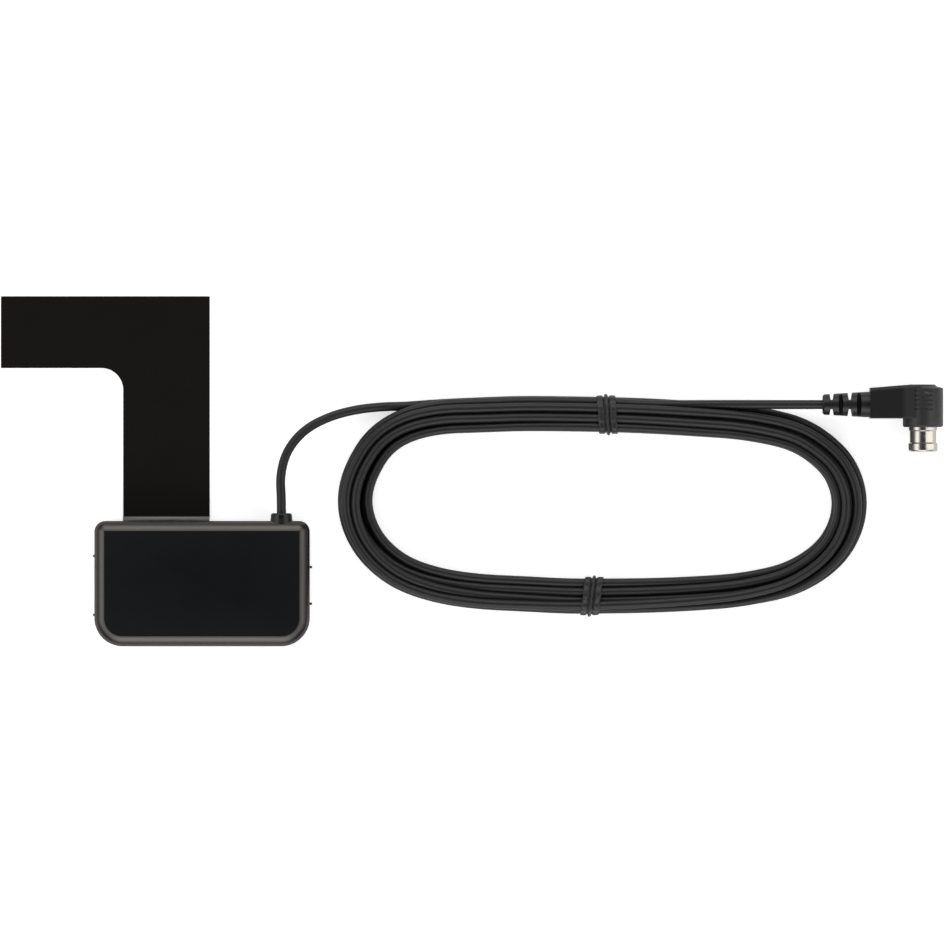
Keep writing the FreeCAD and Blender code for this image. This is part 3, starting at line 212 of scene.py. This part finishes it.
def make_cord(places):
    """The whole cable on one curve: lead, turns and tail. Its thickness is in the radius of its points."""
    turns = [strand_point(places[key], key[1]) for key in sorted(places)]
    points = [Vector(point) for point in LEAD] + drawn_out(turns) + [Vector(point) for point in TAIL]
    curve = bpy.data.curves.new("cable", "CURVE")
    curve.dimensions = "3D"
    curve.bevel_depth = 1.0
    curve.bevel_resolution = 5
    curve.use_fill_caps = True
    curve.resolution_u = 6
    spline = curve.splines.new("NURBS")
    spline.points.add(len(points) - 1)
    for control, point in zip(spline.points, points):
        control.co = (*(point * MM), 1.0)
        control.radius = CABLE / 2 * MM
    spline.order_u = 3
    spline.use_endpoint_u = True
    return link(bpy.data.objects.new("cable", curve))


class Wire:
    """An output of a shader node. Arithmetic on it adds the math nodes that it needs."""

    def __init__(self, tree, socket):
        self.tree = tree
        self.socket = socket

    def math(self, operation, *others):
        return self.tree.add("Math", dict(enumerate((self, *others))), operation=operation)

    def __add__(self, other):
        return self.math("ADD", other)

    def __sub__(self, other):
        return self.math("SUBTRACT", other)

    def __rsub__(self, other):
        return self.tree.add("Math", {0: other, 1: self}, operation="SUBTRACT")

    def __mul__(self, other):
        return self.math("MULTIPLY", other)

    __radd__ = __add__
    __rmul__ = __mul__

    def rise(self, low, high):
        """0 below low, 1 above high, eased between."""
        return self.tree.add(
            "MapRange", {"Value": self, "From Min": low, "From Max": high}, interpolation_type="SMOOTHSTEP",
        )


class Tree:
    """The shader nodes of a material or a world."""

    def __init__(self, owner):
        owner.use_nodes = True
        self.nodes = owner.node_tree.nodes
        self.links = owner.node_tree.links

    def feed(self, value, socket):
        """Link a wire to an input, or set the input to a plain value."""
        if isinstance(value, Wire):
            self.links.new(value.socket, socket)
        else:
            socket.default_value = value

    def add(self, kind, inputs=None, output=0, **settings):
        """Add a node: its settings first, then the values or links of its inputs."""
        node = self.nodes.new("ShaderNode" + kind)
        for name, value in settings.items():
            setattr(node, name, value)
        for name, value in (inputs or {}).items():
            self.feed(value, node.inputs[name])
        return Wire(self, node.outputs[output])

    def axes(self, place):
        return [self.add("SeparateXYZ", {"Vector": place}, name) for name in "XYZ"]

    def rays(self, kind):
        return self.add("LightPath", output=f"Is {kind} Ray")


# Rays that see the floor as a white backdrop, and how white
RAYS_SEEN = {"Camera": 1.0, "Glossy": 0.3, "Transmission": 1.0}

# The colour inputs and output of a Mix node, which shares their names with its other data types
MIX_FACTOR, MIX_FIRST, MIX_SECOND, MIX_RESULT = 0, 6, 7, 2


class Finish(Tree):
    """A material on one Principled shader, with its detail worked out from object coordinates."""

    def __init__(self, name, **fixed):
        self.material = bpy.data.materials.new(name)
        super().__init__(self.material)
        self.shader = self.nodes["Principled BSDF"]
        for socket, value in fixed.items():
            self.shader.inputs[socket.replace("_", " ")].default_value = value
        self.place = self.add("TexCoord", output="Object")

    def stretched(self, x, y, z):
        """Object coordinates scaled by axis, for grain that runs one way."""
        return self.add("Mapping", {"Vector": self.place, "Scale": (x, y, z)})

    def noise(self, size, detail=2.0, place=None):
        """Soft noise from 0 to 1 whose lumps are about this many millimetres."""
        return self.add(
            "TexNoise", {"Vector": place or self.place, "Scale": 1.0 / (size * MM), "Detail": detail},
        )

    def colour(self, factor, first, second):
        mixed = self.add(
            "Mix", {MIX_FACTOR: factor, MIX_FIRST: (*first, 1.0), MIX_SECOND: (*second, 1.0)}, MIX_RESULT,
            data_type="RGBA",
        )
        self.feed(mixed, self.shader.inputs["Base Color"])

    def roughness(self, value):
        self.feed(value, self.shader.inputs["Roughness"])

    def bump(self, height, depth):
        """Bump of a height from 0 to 1 that stands for this many millimetres."""
        normal = self.add("Bump", {"Strength": 1.0, "Distance": depth * MM, "Height": height})
        self.feed(normal, self.shader.inputs["Normal"])


def moulded(name, dark, light, base_roughness, grain_size, grain_depth, **fixed):
    """Moulded plastic or rubber: fine spark grain, broad flow marks and slightly uneven gloss."""
    finish = Finish(name, **fixed)
    grain = finish.noise(grain_size, 3.0)
    flow = finish.noise(9.0, 2.0)
    finish.colour(grain * 0.5 + flow * 0.5, dark, light)
    finish.roughness(flow * 0.10 + grain * 0.06 + (base_roughness - 0.08))
    finish.bump(grain, grain_depth)
    return finish.material


def plug_finish():
    """Moulded plug: fine grain, a head paler than its arm, and grip grooves painted paler as painted highlight
    lines.
    """
    finish = Finish("plug_black")
    x, y, z = finish.axes(finish.place)
    grain = finish.noise(0.25, 3.0)
    # The head is coloured paler than the arm, rising across where the arm becomes the head.
    paler_head = x.rise(HEAD_STARTS[0] * MM, HEAD_STARTS[1] * MM)
    across, up = x - BARREL_AXIS[0] * MM, z - BARREL_AXIS[2] * MM
    radius = (across * across + up * up).math("SQRT")
    below_crown = 1.0 - y.rise(52.25 * MM, 52.35 * MM)
    above_shell = y.rise(46.5 * MM, 46.7 * MM)
    # Painted highlight: the grip grooves are coloured paler, to stand in for light lines along the grip.
    painted_groove_light = (1.0 - radius.rise(5.22 * MM, 5.35 * MM)) * below_crown * above_shell
    shade = (grain * 0.3 + paler_head * 0.7) * 0.31 + painted_groove_light * 0.95
    finish.colour(shade, (0.0008, 0.0010, 0.0014), (0.0722, 0.0724, 0.0714))
    finish.roughness(grain * 0.10 + 0.38)
    finish.bump(grain, 0.018)
    return finish.material


def film_finish():
    """Printed film: glossy ink with a slight unevenness and dull wiping marks."""
    finish = Finish("printed_film", Specular_IOR_Level=0.5)
    broad = finish.noise(16.0, 2.0)
    wiped = finish.noise(1.2, 3.0, finish.stretched(0.15, 1.0, 1.0))
    finish.colour(broad, (0.0088, 0.0080, 0.0071), (0.0114, 0.0104, 0.0093))
    finish.roughness(wiped * 0.08 + broad * 0.05 + 0.06)
    finish.bump(broad, 0.02)
    return finish.material


def jacket_finish():
    """Cable jacket: satin, with faint drawing lines, dusty specks and slightly uneven gloss."""
    finish = Finish("cable_jacket", Specular_IOR_Level=0.5)
    grain = finish.noise(0.35, 2.0)
    patch = finish.noise(6.0, 2.0)
    finish.colour(patch * 0.6 + grain * 0.4, (0.0065, 0.0065, 0.0065), (0.0110, 0.0109, 0.0107))
    finish.roughness(patch * 0.10 + grain * 0.06 + 0.36)
    finish.bump(grain, 0.012)
    return finish.material


def metal(name, dark, light, base_roughness, line_size):
    """Plated turned metal: fine turning lines and clouded plating."""
    finish = Finish(name, Metallic=1.0)
    lines = finish.noise(line_size, 2.0, finish.stretched(0.02, 1.0, 0.02))
    cloud = finish.noise(1.6, 2.0)
    finish.colour(cloud, dark, light)
    finish.roughness(lines * 0.08 + cloud * 0.06 + base_roughness)
    finish.bump(lines, 0.004)
    return finish.material


def board_finish():
    """Circuit board: green mask with darker copper runs below it."""
    finish = Finish("board_mask", Roughness=0.35)
    runs = finish.noise(3.0, 0.0, finish.stretched(0.3, 1.0, 1.0)).rise(0.48, 0.52)
    finish.colour(runs, (0.012, 0.10, 0.035), (0.02, 0.17, 0.06))
    finish.bump(runs, 0.03)
    return finish.material


def braid_finish():
    """Tinned braid: two sets of wires that cross."""
    finish = Finish("shield_braid", Metallic=1.0, Roughness=0.35)
    x, y, z = finish.axes(finish.place)
    wires_per_metre = 2 * math.pi / (0.4 * MM)
    first = ((x + y + z) * wires_per_metre).math("SINE")
    second = ((x - y + z) * wires_per_metre).math("SINE")
    weave = first.math("MAXIMUM", second) * 0.5 + 0.5
    finish.colour(weave, (0.30, 0.28, 0.25), (0.75, 0.72, 0.66))
    finish.bump(weave, 0.05)
    return finish.material


def floor_finish():
    """Pale floor that looks white to the eye and in the metal, and keeps the soft shadow of the object."""
    finish = Finish("floor", Roughness=0.9, Specular_IOR_Level=0.1, Emission_Strength=0.60)
    finish.colour(finish.noise(60.0, 2.0), (0.84, 0.84, 0.84), (0.87, 0.87, 0.87))
    seen = sum(finish.rays(kind) * white for kind, white in RAYS_SEEN.items())
    finish.feed(seen, finish.shader.inputs["Emission Color"])
    return finish.material


def paint(obj, material):
    """Give an object one material."""
    obj.data.materials.clear()
    obj.data.materials.append(material)


def new_piece(name, mesh, material):
    """Turn a bmesh into a smooth-shaded piece that rides on the body."""
    data = bpy.data.meshes.new(name)
    mesh.normal_update()
    mesh.to_mesh(data)
    mesh.free()
    data.shade_smooth()
    obj = link(bpy.data.objects.new(name, data))
    paint(obj, material)
    return obj


def bundle_hull(places, station):
    """Outline of the settled bundle in its cross-section: outwards and up, in millimetres."""
    sides = 24
    rim = []
    for turn in range(TURNS + 1):
        if (turn, station) not in places:
            continue
        out, up = places[turn, station]
        for step in range(sides):
            angle = 2 * math.pi * step / sides
            rim.append((
                CABLE * (out + 0.5 * math.cos(angle)),
                TIE_LIFT + FLOOR_GAP + CABLE * (up + 0.5 + 0.5 * math.sin(angle)),
            ))
    rim.sort()

    def half_hull(points):
        chain = []
        for point in points:
            while len(chain) > 1:
                (ax, ay), (bx, by) = chain[-2], chain[-1]
                if (bx - ax) * (point[1] - ay) - (by - ay) * (point[0] - ax) > 0.0:
                    break
                chain.pop()
            chain.append(point)
        return chain[:-1]

    return [Vector(point) for point in half_hull(rim) + half_hull(rim[::-1])]


def evenly(outline, count):
    """Points at even steps along a closed outline."""
    closed = outline + outline[:1]
    runs = [(b - a).length for a, b in zip(closed, closed[1:])]
    step = sum(runs) / count
    points = []
    travelled = 0.0
    index = 0
    for number in range(count):
        while travelled + runs[index] < number * step:
            travelled += runs[index]
            index += 1
        share = (number * step - travelled) / runs[index]
        points.append(closed[index].lerp(closed[index + 1], share))
    return points


# Share of the gap between strand and outline that a tie is drawn in
DRAWN_IN = 0.55

# Rows across a tie: distance from its middle, and height over the cable
TIE_ROWS = [
    (-2.5, 0.12), (-2.5, 0.34), (-2.2, 0.46), (-1.6, 0.50), (-1.1, 0.48), (-0.9, 0.38), (-0.66, 0.08),
    (-0.54, 0.12), (-0.38, 0.66), (-0.15, 0.88), (0.15, 0.88), (0.38, 0.66), (0.54, 0.12), (0.66, 0.08),
    (0.9, 0.38), (1.1, 0.48), (1.6, 0.50), (2.2, 0.46), (2.5, 0.34), (2.5, 0.12),
]


def tie_outline(places, station):
    """Outline of a tie: round the bundle, drawn a little into the grooves between its strands."""
    around = evenly(bundle_hull(places, station), 96)
    strands = [
        Vector((CABLE * out, TIE_LIFT + FLOOR_GAP + CABLE * (up + 0.5)))
        for (turn, at), (out, up) in places.items() if at == station
    ]
    drawn = []
    for before, point, after in zip(around[-1:] + around, around, around[1:] + around[:1]):
        tangent = (after - before).normalized()
        gap = max(min((point - strand).length for strand in strands) - CABLE / 2, 0.0)
        drawn.append(point - Vector((tangent.y, -tangent.x)) * gap * DRAWN_IN)
    for step in range(3):
        drawn = [
            point * 0.5 + (before + after) * 0.25
            for before, point, after in zip(drawn[-1:] + drawn, drawn, drawn[1:] + drawn[:1])
        ]
    return drawn


def next_ring(mesh, ring):
    """Extrude a closed ring of edges, and give the new corners in the order of the old ones."""
    old = set(ring)
    edges = {edge for vert in ring for edge in vert.link_edges if old.issuperset(edge.verts)}
    grown = set(bmesh.ops.extrude_edge_only(mesh, edges=list(edges))["geom"])
    return [
        next(edge.other_vert(vert) for edge in vert.link_edges if edge.other_vert(vert) in grown)
        for vert in ring
    ]


def make_tie(name, station, skew, phase, material):
    """Flat tie drawn round the bundle, with the ridge of its wire along the middle."""
    around = tie_outline(places, station)
    count = len(around)
    middle = sum(around, Vector((0.0, 0.0))) / count
    side = outward(station)
    x, y = STATIONS[station]
    mesh = bmesh.new()
    first = ring = bmesh.ops.create_circle(mesh, segments=count, radius=MM)["verts"]
    for row, (across, height) in enumerate(TIE_ROWS + TIE_ROWS[:1]):
        if row:
            ring = next_ring(mesh, ring)
        for index, (vert, point) in enumerate(zip(ring, around)):
            tangent = (around[(index + 1) % count] - around[index - 1]).normalized()
            normal = Vector((tangent.y, -tangent.x))
            wave = 0.06 * math.sin(index * 0.41 + phase)
            wave += 0.05 * math.sin(index * 0.98 + 2.0 * phase + across)
            edge = 0.5 * abs(across) / TIE_ROWS[-1][0]
            spot = point + normal * (height + edge * wave)
            along = across + skew * (spot.x - middle.x) + wave
            up = max(spot.y, FLOOR_GAP + 0.02 * abs(across))
            vert.co = Vector((x + along + side.x * spot.x, y + side.y * spot.x, up)) * MM
    bmesh.ops.remove_doubles(mesh, verts=first + ring, dist=1e-6 * MM)
    bmesh.ops.recalc_face_normals(mesh, faces=mesh.faces[:])
    return new_piece(name, mesh, material)


# Matt face of the box, inside its bevelled rim
PANEL = (26.27, 14.17)
PANEL_CORNER = 4.87
PANEL_LEVEL = 10.5
PANEL_SUNK = 0.01
PANEL_THICK = 0.05


def raised(mesh, face, vec):
    """Extrude a face, and give the new corners."""
    grown = bmesh.ops.extrude_face_region(mesh, geom=[face])
    corners = [item for item in grown["geom"] if isinstance(item, bmesh.types.BMVert)]
    bmesh.ops.translate(mesh, vec=vec, verts=corners)
    bmesh.ops.recalc_face_normals(mesh, faces=mesh.faces[:])
    return corners


def make_panel(material):
    """Thin matt face plate with two sharp and two round corners and a softened edge."""
    half_x, half_y = PANEL
    mesh = bmesh.new()
    verts = bmesh.ops.create_grid(mesh, x_segments=1, y_segments=1, size=MM)["verts"]
    bmesh.ops.scale(mesh, vec=(half_x, half_y, 1.0), verts=verts)
    bmesh.ops.translate(mesh, vec=(0.0, 0.0, (PANEL_LEVEL - PANEL_SUNK) * MM), verts=verts)
    bmesh.ops.bevel(
        mesh, geom=[vert for vert in verts if vert.co.y < 0.0], offset=PANEL_CORNER * MM, affect="VERTICES",
        segments=14, profile=0.5, material=-1,
    )
    lifted = raised(mesh, mesh.faces[:][0], (0.0, 0.0, PANEL_THICK * MM))
    rim = [edge for edge in mesh.edges if all(vert in lifted for vert in edge.verts)]
    bmesh.ops.bevel(
        mesh, geom=rim, offset=0.02 * MM, affect="EDGES", segments=2, profile=0.5, material=-1,
    )
    return new_piece("face_panel", mesh, material)


# Lip of the film where it turns down in front of the box: outwards from the middle of the box, and up
LIP_ENDS = (-21.5, 1.9)
LIP_PROFILE = [(16.80, 2.66), (16.90, 2.97), (18.02, 2.46), (18.08, 2.28), (17.62, 1.95), (17.30, 2.40)]


def make_lip(material):
    """Rounded lip along the fold of the film."""
    start, end = LIP_ENDS
    mesh = bmesh.new()
    profile = mesh.faces.new([mesh.verts.new((start * MM, y * MM, z * MM)) for y, z in LIP_PROFILE])
    raised(mesh, profile, ((end - start) * MM, 0.0, 0.0))
    bmesh.ops.bevel(
        mesh, geom=mesh.edges[:], offset=0.05 * MM, affect="EDGES", segments=2, profile=0.5, material=-1,
    )
    return new_piece("film_lip", mesh, material)


places = settle(strand_places())
cable = make_cord(places)
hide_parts("cable_lead", "cable_hank", "cable_tail")

cover_black = moulded(
    "cover_black", (0.0080, 0.0076, 0.0072), (0.0115, 0.0110, 0.0104), 0.22, 0.30, 0.006,
    Specular_IOR_Level=0.85, Specular_Tint=(1.0, 0.95, 0.90, 1.0),
)
panel_black = moulded(
    "panel_black", (0.0022, 0.0027, 0.0032), (0.0036, 0.0042, 0.0048), 0.46, 0.22, 0.020,
    Specular_IOR_Level=0.16,
)
rubber_black = moulded("rubber_black", (0.0040, 0.0042, 0.0044), (0.0085, 0.0087, 0.0088), 0.38, 0.25, 0.015)
tie_black = moulded("tie_black", (0.0140, 0.0140, 0.0142), (0.0240, 0.0240, 0.0242), 0.40, 0.5, 0.030)
fold_black = moulded(
    "fold_black", (0.0080, 0.0074, 0.0066), (0.0120, 0.0112, 0.0100), 0.20, 1.5, 0.040,
    Specular_IOR_Level=0.9,
)
foam_grey = moulded("foam_grey", (0.030, 0.030, 0.031), (0.060, 0.060, 0.062), 0.9, 0.5, 0.12)
resin_black = moulded("resin_black", (0.012, 0.012, 0.012), (0.024, 0.024, 0.024), 0.55, 0.2, 0.02)
ceramic_tan = moulded("ceramic_tan", (0.30, 0.22, 0.13), (0.45, 0.35, 0.23), 0.5, 0.2, 0.01)
ferrite_grey = moulded("ferrite_grey", (0.035, 0.034, 0.033), (0.07, 0.068, 0.065), 0.45, 0.2, 0.02)
insulation_white = moulded("insulation_white", (0.70, 0.70, 0.68), (0.82, 0.82, 0.80), 0.45, 0.3, 0.01)
nickel = metal("nickel", (0.53, 0.505, 0.455), (0.63, 0.605, 0.55), 0.17, 0.10)
bronze = metal("bronze", (0.62, 0.45, 0.22), (0.76, 0.58, 0.32), 0.22, 0.12)
copper = metal("copper", (0.68, 0.36, 0.22), (0.80, 0.46, 0.30), 0.25, 0.12)
jacket = jacket_finish()

paint(cable, jacket)
painted = {
    "front_cover": cover_black, "back_cover": cover_black, "mounting_tape": foam_grey,
    "circuit_board": board_finish(), "amplifier_chip": resin_black, "chip_capacitors": ceramic_tan,
    "chip_resistors": resin_black, "filter_coils": ferrite_grey, "feed_contact": bronze,
    "antenna_film": film_finish(), "cable_grommet": rubber_black, "cable_end": jacket,
    "cable_shield": braid_finish(), "cable_insulation": insulation_white, "cable_conductor": copper,
    "plug_boot": rubber_black, "plug_elbow": plug_finish(), "plug_barrel": nickel, "plug_collet": nickel,
    "plug_insulator": insulation_white, "plug_contact": bronze,
}
for name, material in painted.items():
    paint(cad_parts[name], material)

upper_tie = make_tie("upper_tie_strip", UPPER_TIE, -0.09, 0.4, tie_black)
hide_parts("upper_tie")
lower_tie = make_tie("lower_tie_strip", LOWER_TIE, -0.13, 1.9, tie_black)
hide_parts("lower_tie")
make_panel(panel_black)
make_lip(fold_black)

# Camera straight above the middle of the picture, far off and with a long lens
PICTURE_MIDDLE = (72.94, 29.96)
CAMERA_HEIGHT = 2839.0
camera = bpy.data.objects.new("camera", bpy.data.cameras.new("camera"))
camera.data.lens = 400.0
camera.data.sensor_width = 36.0
camera.location = Vector((*PICTURE_MIDDLE, CAMERA_HEIGHT)) * MM
bpy.context.scene.collection.objects.link(camera)
bpy.context.scene.camera = camera

# Half the width of the floor, its level just under the object, and half the width of a card
FLOOR_HALF = 3000.0
FLOOR_LEVEL = -0.3
CARD_HALF = 3.6


def stage_sheet(name, mesh, material):
    """Turn a bmesh into a sheet of the studio, which isn't part of the object."""
    data = bpy.data.meshes.new(name)
    mesh.to_mesh(data)
    mesh.free()
    sheet = bpy.data.objects.new(name, data)
    bpy.context.scene.collection.objects.link(sheet)
    paint(sheet, material)
    return sheet


def make_floor():
    """Wide flat floor."""
    mesh = bmesh.new()
    verts = bmesh.ops.create_grid(mesh, x_segments=1, y_segments=1, size=FLOOR_HALF * MM)["verts"]
    bmesh.ops.translate(mesh, vec=(0.0, 0.0, FLOOR_LEVEL * MM), verts=verts)
    stage_sheet("floor", mesh, floor_finish())


def card_finish(name, shade, glow):
    """Studio card with a faint fibre."""
    finish = Finish(name, Roughness=0.9, Emission_Strength=glow, Emission_Color=(1.0, 0.98, 0.94, 1.0))
    finish.colour(finish.noise(0.8), (shade * 0.95,) * 3, (shade,) * 3)
    return finish.material


def make_card(name, start, end, material):
    """Card along the barrel, from one place beside it to another: X and Z. Only what is glossy mirrors it."""
    mesh = bmesh.new()
    middle = BARREL_AXIS[1]
    ends = []
    for x, z in (start, end):
        pair = [mesh.verts.new(Vector((x, middle + side, z)) * MM) for side in (-CARD_HALF, CARD_HALF)]
        ends.append(mesh.edges.new(pair))
    bmesh.ops.bridge_loops(mesh, edges=ends)
    card = stage_sheet(name, mesh, material)
    card.visible_camera = card.visible_diffuse = card.visible_shadow = card.visible_transmission = False


def light_tent():
    """Soft studio light: bright walls, a dark opening overhead, a little more from the upper left."""
    world = bpy.data.worlds.new("light_tent")
    bpy.context.scene.world = world
    tent = Tree(world)
    background = tent.nodes["Background"]
    background.inputs["Color"].default_value = (1.0, 1.0, 1.0, 1.0)
    x, y, height = tent.axes(tent.add("TexCoord", output="Generated"))
    walls = height.rise(0.15, 0.58) * 1.53 + 0.36
    opening = 1.0 - height.rise(0.68, 0.93) * 0.985
    lean = y * y * 0.65 - y * 0.14 - x * 0.10 + 0.9
    corners = 1.0 - x * y * x * y * 4.0
    strength = walls * opening * lean * corners
    tent.feed(strength + tent.rays("Camera") * (1.0 - strength), background.inputs["Strength"])


make_floor()
make_card("dark_card", (187.6, 0.5), (187.6, 8.6), card_finish("dark_card", 0.20, 0.0))
make_card("pale_card", (210.0, 7.8), (202.9, 27.5), card_finish("pale_card", 0.8, 1.25))
bpy.context.scene.view_settings.view_transform = "Standard"
light_tent()
